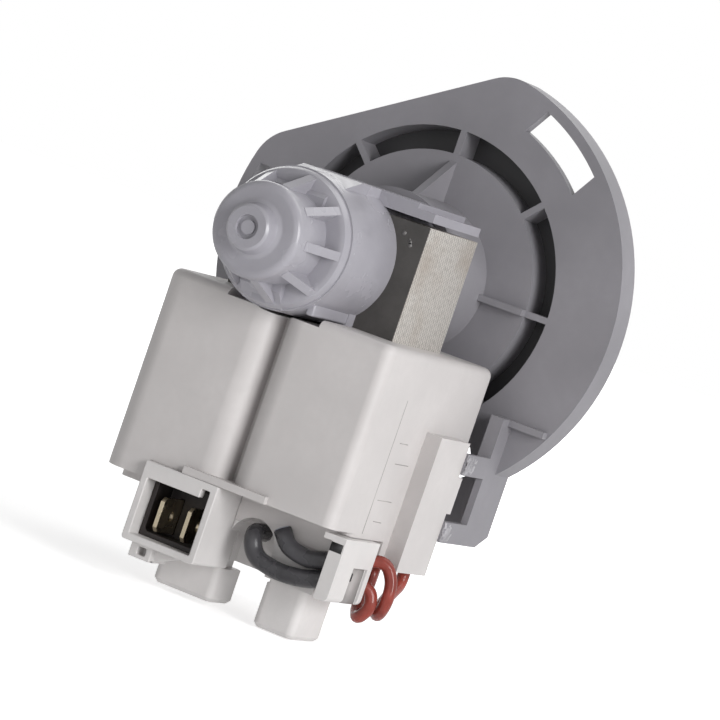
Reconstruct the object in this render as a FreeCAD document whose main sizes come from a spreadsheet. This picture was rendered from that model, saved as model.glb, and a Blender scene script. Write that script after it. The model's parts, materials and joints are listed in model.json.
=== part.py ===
import FreeCAD, Part
import Sketcher
import math
import os
import re

# Dishwasher drain pump: a synchronous motor with a U-shaped stator, clipped on a plastic rotor can,
# on a round bayonet flange with an impeller on its wet side.
# +Y runs along the rotor axis from the motor's nose to the impeller, +Z points away from the coils.
# The origin is on the rotor axis, in the flange's motor-side face. Sizes are in millimetres.

sizes = {
    # clearances
    "slip": 0.1,
    "running_gap": 0.05,
    "air_gap": 0.4,
    # flange cover
    "disc_radius": 40.5,
    "chord_distance": 32.1,
    "chord_angle": 120.2,
    "corner_radius": 9.0,
    "plate_thickness": 2.2,
    "rim_depth": 6.3,
    "rim_wall": 1.6,
    "groove_inner": 23.2,
    "groove_width": 4.5,
    "groove_depth": 6.5,
    "spigot_wall": 1.7,
    "seal_seat_depth": 0.8,
    "bridge_count": 8,
    "bridge_thickness": 1.2,
    "hub_wall": 1.7,
    "low_rib_count": 2,
    "fin_reach": 21.8,
    "fin_height": 11.2,
    "fin_thickness": 1.4,
    "low_rib_height": 1.8,
    "slot_angle": 56.5,
    "slot_inner": 33.4,
    "slot_outer": 38.6,
    "slot_width": 15.3,
    "slot_count": 3,
    # latch fork on the flange
    "fork_left": 18.5,
    "fork_right": 28.0,
    "fork_wall": 1.3,
    "fork_top": 26.5,
    "fork_bottom": 43.0,
    "fork_corner": 3.0,
    "fork_chamfer": 2.2,
    "window_back": 4.8,
    "window_top": 30.4,
    "window_bottom": 39.2,
    "post_width": 2.6,
    "post_proud": 4.6,
    "post_top": 18.9,
    # rotor can
    "can_radius": 12.4,
    "can_wall": 1.4,
    "barrel_radius": 12.8,
    "collar_radius": 12.3,
    "neck_radius": 8.5,
    "boss_radius": 5.4,
    "nose_radius": 4.0,
    "barrel_length": 18.0,
    "collar_length": 2.0,
    "neck_length": 9.0,
    "shoulder_height": 1.4,
    "boss_height": 1.2,
    "nose_height": 1.9,
    "neck_rib_count": 9,
    "neck_rib_thickness": 1.6,
    "neck_rib_setback": 1.6,
    "ridge_half_width": 6.0,
    "ridge_top": 13.0,
    "ridge_flat": 8.7,
    "ridge_nose_top": 8.5,
    "wing_overhang": 0.3,
    "wing_inset": 3.2,
    "wing_thickness": 1.6,
    "wing_front_reach": 0.6,
    "left_wing_length": 7.0,
    "hook_inner": 2.6,
    "hook_outer": 8.9,
    "hook_bottom": 12.3,
    "hook_thickness": 2.7,
    # stator
    "core_standoff": 16.2,
    "core_depth": 21.2,
    "core_half_width": 17.0,
    "core_top": 9.5,
    "core_gap": 0.3,
    "leg_inner": 4.0,
    "window_floor": 38.0,
    "yoke_height": 9.8,
    "bobbin_wall": 1.0,
    "bobbin_flange": 1.2,
    "winding_side": 2.6,
    "winding_bulge": 6.0,
    # coil housing
    "body_left": 22.4,
    "body_right": 24.0,
    "body_front": 51.0,
    "body_back": 5.4,
    "body_top": 11.3,
    "body_bottom": 49.5,
    "lobe_radius": 4.5,
    "valley_x": 1.5,
    "valley_half_width": 0.6,
    "valley_depth": 5.0,
    "back_valley_depth": 2.4,
    "lid_thickness": 4.4,
    "lip_level": 44.4,
    "lip_height": 1.3,
    "lip_proud": 1.2,
    "lip_left": 5.9,
    "lip_right": 10.8,
    "left_skirt": 47.6,
    "pad_proud": 3.5,
    "pad_top": 24.6,
    "pad_front": 27.0,
    "pad_bevel": 0.8,
    "pad_back": 14.3,
    "catch_top": 31.0,
    "catch_bottom": 37.8,
    "catch_reach": 1.8,
    "edge_round": 1.6,
    # connector and carrier
    "panel_front": 42.5,
    "connector_left": 13.0,
    "connector_right": 1.9,
    "connector_front": 52.5,
    "connector_back": 39.1,
    "connector_bottom": 58.7,
    "connector_round": 0.6,
    "mouth_wall": 1.3,
    "mouth_depth": 11.9,
    "bar_height": 1.6,
    "bar_depth": 1.8,
    "notch_width": 1.7,
    "block_setback": 3.4,
    "block_wall": 0.9,
    "block_floor": 2.8,
    "tab_width": 6.3,
    "tab_thickness": 0.8,
    "tab_length": 9.3,
    "tab_pitch": 5.6,
    "tab_centre_z": 52.8,
    "tab_recess": 2.0,
    "tab_hole_radius": 0.9,
    "tab_hole_inset": 4.0,
    "carrier_right": 20.6,
    "carrier_bottom": 57.0,
    "carrier_back": 28.0,
    "feet_front": 40.0,
    "left_foot_left": 11.0,
    "left_foot_right": 1.4,
    "left_foot_back": 31.0,
    "left_foot_bottom": 65.2,
    "right_foot_left": 10.1,
    "right_foot_right": 18.5,
    "right_foot_bottom": 66.0,
    "foot_round": 1.5,
    "tunnel_radius": 4.5,
    "tunnel_x": 6.4,
    "tunnel_top": 48.0,
    "tunnel_depth": 6.0,
    "tunnel_depth_above": 3.0,
    # clip for the leads
    "clip_left": 21.2,
    "clip_right": 25.6,
    "clip_front": 47.0,
    "clip_back": 33.0,
    "clip_roof": 45.3,
    "clip_floor": 56.8,
    "clip_wall": 1.1,
    "clip_strip": 2.7,
    "clip_room": 4.4,
    "clip_slot_front": 40.5,
    "clip_slot_back": 34.6,
    "clip_slot_top": 50.2,
    "sleeve_radius": 1.6,
    "sleeve_drop": 1.8,
    "lead_radius": 1.15,
    "protector_width": 11.0,
    "protector_depth": 3.6,
    "protector_height": 6.0,
    # rotor
    "shaft_radius": 1.5,
    "shaft_front": 15.0,
    "magnet_length": 26.0,
    "magnet_hub_radius": 5.0,
    "sleeve_hub_radius": 3.6,
    "dog_radius": 6.8,
    "dog_ring_radius": 2.6,
    "dog_height": 3.6,
    "dog_half_angle": 30.0,
    "washer_radius": 3.4,
    "washer_thickness": 0.6,
    "bush_radius": 3.2,
    "bush_length": 6.0,
    "rear_pocket_radius": 6.5,
    "plug_length": 8.0,
    "plug_flange_radius": 13.0,
    "plug_flange_thickness": 1.4,
    "seal_radius": 5.0,
    "seal_height": 3.4,
    "seal_ring_radius": 0.85,
    # impeller
    "impeller_radius": 17.4,
    "impeller_gap": 0.6,
    "shroud_thickness": 1.4,
    "impeller_hub_radius": 4.2,
    "impeller_hub_length": 10.4,
    "blade_count": 6,
    "blade_thickness": 1.6,
    "blade_height": 8.8,
    "blade_tip_height": 5.8,
}

doc = FreeCAD.newDocument("drain_pump")
sheet = doc.addObject("Spreadsheet::Sheet", "Dim")
for line, (alias, number) in enumerate(sizes.items(), 1):
    sheet.set(f"A{line}", alias.replace("_", " "))
    sheet.set(f"B{line}", str(number))
    sheet.setAlias(f"B{line}", alias)
doc.recompute()

# Levels along the rotor axis and heights, as expressions of the sizes
core_back = "-core_standoff"
core_front = "-(core_standoff + core_depth)"
seam = f"{core_front} - barrel_length"
collar_front = f"{seam} - collar_length"
neck_front = f"{collar_front} - neck_length"
shoulder_front = f"{neck_front} - shoulder_height"
boss_front = f"{shoulder_front} - boss_height"
nose_face = f"{boss_front} - nose_height"
chamber_end = f"{collar_front} + can_wall"
pocket_end = f"{neck_front} + 1.0"
relief_end = f"{pocket_end} - 2.0"
can_inner = "can_radius - can_wall"
groove_outer = "groove_inner + groove_width"
spigot_radius = f"{groove_outer} + spigot_wall"
spigot_end = "groove_depth + spigot_wall"
wing_top = "ridge_top - 1.0"
wing_front = f"{core_front} - wing_front_reach"
wing_back = f"{core_back} - 1.4"
wing_half_width = "(core_half_width + wing_overhang)"
strip_half_width = "(core_half_width - wing_inset)"
yoke_bottom = "-(window_floor + yoke_height)"
cavity_top = "-(body_top + lid_thickness)"
bobbin_top = f"{cavity_top} - slip"
bobbin_bottom = "-window_floor + slip"
magnet_front = "-(core_standoff + core_depth / 2 - magnet_length / 2)"
magnet_rear = "-(core_standoff + core_depth / 2 + magnet_length / 2)"
plug_rear = "-plug_length"
bush_front = f"{plug_rear} + bush_length"
front_washer_rear = f"{plug_rear} - 0.3 - washer_thickness"
dog_front = f"{front_washer_rear} - 0.1"
dog_rear = f"{dog_front} - dog_height"
rear_bush_rear = f"{pocket_end} + 0.8"
rear_bush_front = f"{rear_bush_rear} + bush_length"
rear_washer_rear = f"{rear_bush_front} + 0.3"
rear_washer_front = f"{rear_washer_rear} + washer_thickness"
impeller_rear = "plate_thickness + plug_flange_thickness + impeller_gap"
tab_middle = "(connector_right - connector_left) / 2"
connector_top = "-lip_level - slip / 2"
block_back = "-connector_front + mouth_depth"


def bound(text):
    # The same expression, with each size written as a cell of the sheet
    def cell(word):
        return f"Dim.{word.group()}" if word.group() in sizes else word.group()
    return re.sub(r"[a-z_]+", cell, text)


def worth(text):
    return float(sheet.evalExpression(text))


def rotated(angle, outward, across):
    # The point at outward and across from the rotor axis, in a frame turned by angle
    x = f"({outward}) * cos({angle}) - ({across}) * sin({angle})"
    z = f"({outward}) * sin({angle}) + ({across}) * cos({angle})"
    return x, z


def new_body(name):
    body = doc.addObject("PartDesign::Body", name)
    body.Label = name
    return body


def origin_feature(body, role):
    return next(item for item in body.Origin.OriginFeatures if item.Role == role)


def new_sketch(body, plane, level):
    # A sketch on XY, XZ or YZ, moved to a level along the third axis
    sketch = body.newObject("Sketcher::SketchObject", f"{body.Name}_sketch")
    sketch.AttachmentSupport = [(origin_feature(body, f"{plane}_Plane"), "")]
    sketch.MapMode = "FlatFace"
    offset = f"-({level})" if plane == "XZ" else level
    sketch.setExpression("AttachmentOffset.Base.z", bound(offset))
    return sketch


def pin(sketch, kind, edge, spot, text):
    # Ties a point to a distance from the sketch's origin, or to its axis where that is nil
    if text == "0":
        axis = -2 if kind == "DistanceX" else -1
        sketch.addConstraint(Sketcher.Constraint("PointOnObject", edge, spot, axis))
        return
    index = sketch.addConstraint(Sketcher.Constraint(kind, -1, 1, edge, spot, worth(text)))
    sketch.setExpression(f"Constraints[{index}]", bound(text))


def draw_contour(sketch, corners):
    # A closed outline. A corner is (x, y), or (x, y, radius, turn) where an arc leaves it,
    # with its centre to the left for turn 1 and to the right for turn -1
    points = [FreeCAD.Vector(worth(corner[0]), worth(corner[1]), 0) for corner in corners]
    spots = []
    for index, corner in enumerate(corners):
        start = points[index]
        end = points[(index + 1) % len(points)]
        if len(corner) == 2:
            edge = sketch.addGeometry(Part.LineSegment(start, end), False)
            spots.append((edge, 1, 2))
            continue
        radius = worth(corner[2])
        half = (end - start) / 2
        side = FreeCAD.Vector(-half.y, half.x, 0).normalize()
        rise = math.sqrt(max(radius ** 2 - half.Length ** 2, 0.0))
        centre = start + half + side * rise * corner[3]
        first = math.atan2(start.y - centre.y, start.x - centre.x)
        last = math.atan2(end.y - centre.y, end.x - centre.x)
        circle = Part.Circle(centre, FreeCAD.Vector(0, 0, 1), radius)
        if corner[3] > 0:
            edge = sketch.addGeometry(Part.ArcOfCircle(circle, first, last), False)
            spots.append((edge, 1, 2))
        else:
            edge = sketch.addGeometry(Part.ArcOfCircle(circle, last, first), False)
            spots.append((edge, 2, 1))
    for index, corner in enumerate(corners):
        edge, start, end = spots[index]
        before, _, before_end = spots[index - 1]
        sketch.addConstraint(Sketcher.Constraint("Coincident", before, before_end, edge, start))
        pin(sketch, "DistanceX", edge, start, corner[0])
        pin(sketch, "DistanceY", edge, start, corner[1])
        if len(corner) > 2:
            radius_index = sketch.addConstraint(Sketcher.Constraint("Radius", edge, worth(corner[2])))
            sketch.setExpression(f"Constraints[{radius_index}]", bound(corner[2]))


def draw_circle(sketch, x, y, radius):
    centre = FreeCAD.Vector(worth(x), worth(y), 0)
    edge = sketch.addGeometry(Part.Circle(centre, FreeCAD.Vector(0, 0, 1), worth(radius)), False)
    pin(sketch, "DistanceX", edge, 3, x)
    pin(sketch, "DistanceY", edge, 3, y)
    index = sketch.addConstraint(Sketcher.Constraint("Radius", edge, worth(radius)))
    sketch.setExpression(f"Constraints[{index}]", bound(radius))


def rectangle(left, bottom, right, top):
    return [(left, bottom), (right, bottom), (right, top), (left, top)]


def rounded_rectangle(left, bottom, right, top, radius):
    return [
        (f"{left} + {radius}", bottom),
        (f"{right} - {radius}", bottom, radius, 1),
        (right, f"{bottom} + {radius}"),
        (right, f"{top} - {radius}", radius, 1),
        (f"{right} - {radius}", top),
        (f"{left} + {radius}", top, radius, 1),
        (left, f"{top} - {radius}"),
        (left, f"{bottom} + {radius}", radius, 1),
    ]


def extrude(body, kind, plane, low, high, contours):
    # A Pad or a Pocket of the contours between two levels along the third axis
    outward = plane != "XZ"
    from_low = outward if kind == "Pad" else not outward
    sketch = new_sketch(body, plane, low if from_low else high)
    for contour in contours:
        if len(contour) == 3 and isinstance(contour[0], str):
            draw_circle(sketch, *contour)
        else:
            draw_contour(sketch, contour)
    feature = body.newObject(f"PartDesign::{kind}", f"{body.Name}_{kind.lower()}")
    feature.Profile = sketch
    feature.setExpression("Length", bound(f"({high}) - ({low})"))
    return feature


def pad(body, plane, low, high, *contours):
    return extrude(body, "Pad", plane, low, high, contours)


def pocket(body, plane, low, high, *contours):
    return extrude(body, "Pocket", plane, low, high, contours)


def revolve(body, kind, profile):
    # A profile of (radius, y) corners, turned about the rotor axis
    sketch = new_sketch(body, "XY", "0")
    draw_contour(sketch, profile)
    feature = body.newObject(f"PartDesign::{kind}", f"{body.Name}_{kind.lower()}")
    feature.Profile = sketch
    feature.ReferenceAxis = (sketch, ["V_Axis"])
    feature.Angle = 360
    return feature


def turned(name, profile):
    body = new_body(name)
    revolve(body, "Revolution", profile)
    return body


def ring_profile(inner, outer, rear, front):
    return rectangle(inner, rear, outer, front)


def around(body, feature, count):
    # Copies of a feature, evenly spaced about the rotor axis
    pattern = body.newObject("PartDesign::PolarPattern", f"{body.Name}_pattern")
    pattern.Originals = [feature]
    pattern.Axis = (origin_feature(body, "Y_Axis"), [""])
    pattern.Angle = 360
    pattern.setExpression("Occurrences", bound(count))
    body.Tip = pattern
    return pattern


def mirrored(body, feature):
    mirror = body.newObject("PartDesign::Mirrored", f"{body.Name}_mirror")
    mirror.Originals = [feature]
    mirror.MirrorPlane = (origin_feature(body, "YZ_Plane"), [""])
    body.Tip = mirror
    return mirror


def soften(body, kind, size, chosen):
    # A Fillet or a Chamfer on the edges that the test picks
    doc.recompute()
    base = body.Tip
    names = [f"Edge{number}" for number, edge in enumerate(base.Shape.Edges, 1) if chosen(edge)]
    feature = body.newObject(f"PartDesign::{kind}", f"{body.Name}_{kind.lower()}")
    feature.Base = (base, names)
    feature.setExpression("Radius" if kind == "Fillet" else "Size", bound(size))
    return feature


def straight_along(edge, axis):
    # True for a straight edge that runs along an axis, given as 0, 1 or 2
    if edge.Curve.TypeId != "Part::GeomLine":
        return False
    return abs(edge.Curve.Direction[axis]) > 0.999


def middle(edge):
    return edge.CenterOfMass


# Flange cover: a round plate with one flat side, a rim, a spigot with a ribbed groove, a hub and an ear

def flat_sided_outline(inset):
    radius = f"disc_radius - {inset}"
    chord = f"chord_distance - {inset}"
    corner = f"corner_radius - {inset}"
    arm = f"({radius} - ({corner}))"
    outward = f"({chord} - ({corner}))"
    across = f"sqrt({arm}^2 - {outward}^2)"
    reach = f"({radius}) / {arm}"
    return [
        (*rotated("chord_angle", f"{reach} * {outward}", f"-{reach} * {across}"), corner, 1),
        rotated("chord_angle", chord, f"-{across}"),
        (*rotated("chord_angle", chord, across), corner, 1),
        (*rotated("chord_angle", f"{reach} * {outward}", f"{reach} * {across}"), radius, 1),
        (*rotated("chord_angle", f"-({radius})", "0"), radius, 1),
    ]


def arc_slot():
    # The slot's two ends are parallel to its centre line, its sides follow the rotor axis
    half = "slot_width / 2"
    inner = f"sqrt(slot_inner^2 - ({half})^2)"
    outer = f"sqrt(slot_outer^2 - ({half})^2)"
    return [
        rotated("slot_angle", inner, f"-{half}"),
        (*rotated("slot_angle", outer, f"-{half}"), "slot_outer", 1),
        rotated("slot_angle", outer, half),
        (*rotated("slot_angle", inner, half), "slot_inner", -1),
    ]


def make_flange_cover():
    body = new_body("flange_cover")
    pad(body, "XZ", "0", "rim_depth", flat_sided_outline("0"))
    pocket(body, "XZ", "plate_thickness", "rim_depth", flat_sided_outline("rim_wall"))
    revolve(body, "Revolution", [
        ("groove_inner - spigot_wall", "plate_thickness / 2"),
        (f"{spigot_radius}", "plate_thickness / 2"),
        (f"{spigot_radius}", "plate_thickness"),
        (f"{spigot_radius} - seal_seat_depth", "plate_thickness"),
        (f"{spigot_radius} - seal_seat_depth", "plate_thickness + 2 * seal_ring_radius"),
        (f"{spigot_radius}", "plate_thickness + 2 * seal_ring_radius"),
        (f"{spigot_radius}", spigot_end),
        ("groove_inner - spigot_wall", spigot_end),
    ])
    revolve(body, "Groove", rectangle("groove_inner", "-1", groove_outer, "groove_depth"))
    bridge = pad(body, "XY", "-bridge_thickness / 2", "bridge_thickness / 2",
                 rectangle("groove_inner - 0.3", "0", f"{groove_outer} + 0.3", "groove_depth + 0.3"))
    around(body, bridge, "bridge_count")
    revolve(body, "Revolution", rectangle("can_radius + slip", "-core_standoff + slip",
                                          "can_radius + slip + hub_wall", "plate_thickness / 2"))
    pad(body, "YZ", "-fin_thickness / 2", "fin_thickness / 2", [
        ("plate_thickness / 2", "can_radius + slip + hub_wall / 2"),
        ("plate_thickness / 2", "fin_reach"),
        ("0", "fin_reach"),
        ("-fin_height", "can_radius + slip + hub_wall"),
        ("-fin_height", "can_radius + slip + hub_wall / 2"),
    ])
    low_rib = pad(body, "XY", "-bridge_thickness / 2", "bridge_thickness / 2", rectangle(
        "can_radius + slip + hub_wall / 2", "-low_rib_height", "groove_inner", "plate_thickness / 2"))
    around(body, low_rib, "low_rib_count")
    # The latch fork: a side wall on a tongue and a post, with two arms that reach the pad of the coil housing
    pad(body, "XY", "-fork_bottom", "-fork_top", [
        ("fork_left", "0"),
        ("fork_right - fork_wall - fork_corner", "0", "fork_corner", -1),
        ("fork_right - fork_wall", "-fork_corner"),
        ("fork_right", "-fork_corner"),
        ("fork_right", "plate_thickness"),
        ("fork_left", "plate_thickness"),
    ])
    arm_front = "-(pad_back - slip / 2)"
    pad(body, "YZ", "fork_right - fork_wall", "fork_right", [
        (arm_front, "-fork_bottom"),
        ("rim_depth - 2 * fork_chamfer", "-fork_bottom"),
        ("rim_depth", "-fork_bottom + fork_chamfer"),
        ("rim_depth", "-fork_top"),
        (arm_front, "-fork_top"),
        (arm_front, "-window_top"),
        ("-window_back", "-window_top"),
        ("-window_back", "-window_bottom"),
        (arm_front, "-window_bottom"),
    ])
    pad(body, "XZ", "-post_proud", "plate_thickness / 2", rectangle(
        "fork_right - post_width", "-fork_top - 1", "fork_right", "-post_top"))
    pad(body, "XZ", "-low_rib_height", "plate_thickness / 2", rectangle(
        "fork_right - 1", "-post_top - bridge_thickness", "fork_right + 7", "-post_top"))
    pocket(body, "XZ", "-1", "plate_thickness + 1", ("0", "0", can_inner))
    slot = pocket(body, "XZ", "-1", "plate_thickness + 1", arc_slot())
    around(body, slot, "slot_count")
    return body


# Rotor can: nose, ribbed neck, collar and barrel in one moulding, with the guides that hold the stator

def make_rotor_can():
    body = new_body("rotor_can")
    root = "(boss_radius - nose_radius - 0.3)"
    revolve(body, "Revolution", [
        ("0", nose_face),
        ("nose_radius - 0.4", nose_face),
        ("nose_radius", f"{nose_face} + 0.4"),
        ("nose_radius + 0.3", boss_front),
        (f"nose_radius + 0.3 + {root} * (1 - cos(35))", f"{boss_front} + boss_height * sin(35)"),
        ("boss_radius", shoulder_front),
        ("neck_radius - shoulder_height", shoulder_front),
        ("neck_radius - shoulder_height * 0.5", f"{shoulder_front} + shoulder_height * 0.14"),
        ("neck_radius - shoulder_height * 0.14", f"{shoulder_front} + shoulder_height * 0.5"),
        ("neck_radius", neck_front),
        ("neck_radius", collar_front),
        ("collar_radius - 1.5", collar_front),
        ("collar_radius - 0.45", f"{collar_front} + 0.4"),
        ("collar_radius", f"{collar_front} + 1.3"),
        ("collar_radius", seam),
        ("barrel_radius - 0.2", seam),
        ("barrel_radius", core_front),
        ("can_radius", core_front),
        ("can_radius", "0"),
        ("0", "0"),
    ])
    rib = pad(body, "XY", "-neck_rib_thickness / 2", "neck_rib_thickness / 2", [
        ("neck_radius - 1", f"{neck_front} + neck_rib_setback"),
        ("neck_radius + 0.1", f"{neck_front} + neck_rib_setback"),
        ("collar_radius - 0.7", f"{collar_front} + 0.3"),
        ("neck_radius - 1", f"{collar_front} + 0.3"),
    ])
    around(body, rib, "neck_rib_count")
    # The ridge on top falls towards the nose, and a shorter one below guides the coil housing
    ramp_start = f"{core_front} - ridge_flat"
    pad(body, "YZ", "-ridge_half_width", "ridge_half_width", [
        (f"{collar_front} - 1", "neck_radius - 3"),
        (wing_back, "neck_radius - 3"),
        (wing_back, "ridge_top"),
        (ramp_start, "ridge_top"),
        (f"{collar_front} + 0.6", "ridge_nose_top + 1.2"),
        (f"{collar_front} - 1", "ridge_nose_top"),
    ])
    pad(body, "YZ", "-ridge_half_width * 2 / 3", "ridge_half_width * 2 / 3", [
        (f"{collar_front} - 1.6", "-neck_radius + 3"),
        (f"{collar_front} - 1.6", "-neck_radius - 0.7"),
        (f"{collar_front} + 1.4", "-(hook_bottom - 0.4)"),
        (wing_front, "-(hook_bottom - 0.4)"),
        (wing_front, "-neck_radius + 3"),
    ])
    # Two wings lie on the stator. The left one is short
    left_front = f"{wing_back} - left_wing_length"
    pad(body, "XY", f"{wing_top} - wing_thickness", wing_top, rectangle(
        "0", wing_front, wing_half_width, wing_back))
    pad(body, "XY", f"{wing_top} - wing_thickness", wing_top, rectangle(
        f"-{wing_half_width}", left_front, "1", wing_back))
    pad(body, "XY", f"{wing_top} - 0.1", "ridge_top", rectangle(
        "0", wing_front, strip_half_width, wing_back))
    pad(body, "XY", f"{wing_top} - 0.1", "ridge_top", rectangle(
        f"-{strip_half_width}", left_front, "1", wing_back))
    hook = pad(body, "XY", "-hook_bottom", "-neck_radius", rectangle(
        "hook_inner", f"{core_front} - hook_thickness", "hook_outer", core_front))
    mirrored(body, hook)
    revolve(body, "Groove", [
        ("0", relief_end),
        ("shaft_radius + 0.7", relief_end),
        ("shaft_radius + 0.7", pocket_end),
        ("rear_pocket_radius", pocket_end),
        ("rear_pocket_radius", chamber_end),
        (can_inner, chamber_end),
        (can_inner, "1"),
        ("0", "1"),
    ])
    return body


# Stator: a U of laminations whose legs close round the can, with a bobbin and a winding on each leg

def make_stator_core():
    body = new_body("stator_core")
    bore = "(can_radius + core_gap)"
    tip = f"sqrt({bore}^2 - core_top^2)"
    chin = f"-sqrt({bore}^2 - leg_inner^2)"
    pad(body, "XZ", core_front, core_back, [
        ("core_half_width", "core_top"),
        (tip, "core_top", bore, -1),
        (bore, "0", bore, -1),
        ("leg_inner", chin),
        ("leg_inner", "-window_floor"),
        ("-leg_inner", "-window_floor"),
        ("-leg_inner", chin, bore, -1),
        (f"-{bore}", "0", bore, -1),
        (f"-{tip}", "core_top"),
        ("-core_half_width", "core_top"),
        ("-core_half_width", yoke_bottom),
        ("core_half_width", yoke_bottom),
    ])
    return body


def leg_box(side, grow):
    # The plan of one leg, grown on all sides; side is 1 for the right leg and -1 for the left one
    near = f"leg_inner - ({grow})"
    far = f"core_half_width + ({grow})"
    left, right = (near, far) if side > 0 else (f"-({far})", f"-({near})")
    return rectangle(left, f"{core_front} - ({grow})", right, f"{core_back} + ({grow})")


def coil_plan(side, sideways, lengthways):
    near = f"leg_inner - slip - bobbin_wall - ({sideways})"
    far = f"core_half_width + slip + bobbin_wall + ({sideways})"
    left, right = (near, far) if side > 0 else (f"-({far})", f"-({near})")
    front = f"{core_front} - slip - bobbin_wall - ({lengthways})"
    back = f"{core_back} + slip + bobbin_wall + ({lengthways})"
    return left, front, right, back


def make_bobbin(name, side):
    body = new_body(name)
    hole = leg_box(side, "slip")
    pad(body, "XY", bobbin_bottom, bobbin_top, leg_box(side, "slip + bobbin_wall"), hole)
    flange = rectangle(*coil_plan(side, "winding_side", "winding_bulge"))
    pad(body, "XY", bobbin_bottom, f"{bobbin_bottom} + bobbin_flange", flange, leg_box(side, "slip"))
    pad(body, "XY", f"{bobbin_top} - bobbin_flange", bobbin_top, flange, leg_box(side, "slip"))
    return body


def make_winding(name, side):
    body = new_body(name)
    outer = rounded_rectangle(*coil_plan(side, "winding_side - slip", "winding_bulge - slip"), "2.4")
    inner = rectangle(*coil_plan(side, "slip", "slip"))
    low = f"{bobbin_bottom} + bobbin_flange + slip"
    pad(body, "XY", low, f"{bobbin_top} - bobbin_flange - slip", outer, inner)
    return body


# Coil housing: two rounded lobes with a valley between them

def lobes_plan():
    left_valley = "valley_x - valley_half_width"
    right_valley = "valley_x + valley_half_width"
    front_valley = "-body_front + valley_depth"
    back_valley = "-body_back - back_valley_depth"
    return [
        ("-body_left + lobe_radius", "-body_front"),
        (f"{left_valley} - lobe_radius", "-body_front", "lobe_radius", 1),
        (left_valley, "-body_front + lobe_radius"),
        (left_valley, front_valley),
        (right_valley, front_valley),
        (right_valley, "-body_front + lobe_radius", "lobe_radius", 1),
        (f"{right_valley} + lobe_radius", "-body_front"),
        ("body_right - lobe_radius / 2", "-body_front", "lobe_radius / 2", 1),
        ("body_right", "-body_front + lobe_radius / 2"),
        ("body_right", "-body_back - lobe_radius / 2", "lobe_radius / 2", 1),
        ("body_right - lobe_radius / 2", "-body_back"),
        (f"{right_valley} + back_valley_depth", "-body_back", "back_valley_depth", 1),
        (right_valley, back_valley),
        (left_valley, back_valley, "back_valley_depth", 1),
        (f"{left_valley} - back_valley_depth", "-body_back"),
        ("-body_left + lobe_radius", "-body_back", "lobe_radius", 1),
        ("-body_left", "-body_back - lobe_radius"),
        ("-body_left", "-body_front + lobe_radius", "lobe_radius", 1),
    ]


def arch_outline():
    # The arch that the lower sleeve comes out of, open at the bottom
    return [
        ("tunnel_x - tunnel_radius", "-carrier_bottom - 1"),
        ("tunnel_x + tunnel_radius", "-carrier_bottom - 1"),
        ("tunnel_x + tunnel_radius", "-tunnel_top - tunnel_radius", "tunnel_radius", 1),
        ("tunnel_x", "-tunnel_top", "tunnel_radius", 1),
        ("tunnel_x - tunnel_radius", "-tunnel_top - tunnel_radius"),
    ]


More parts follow.
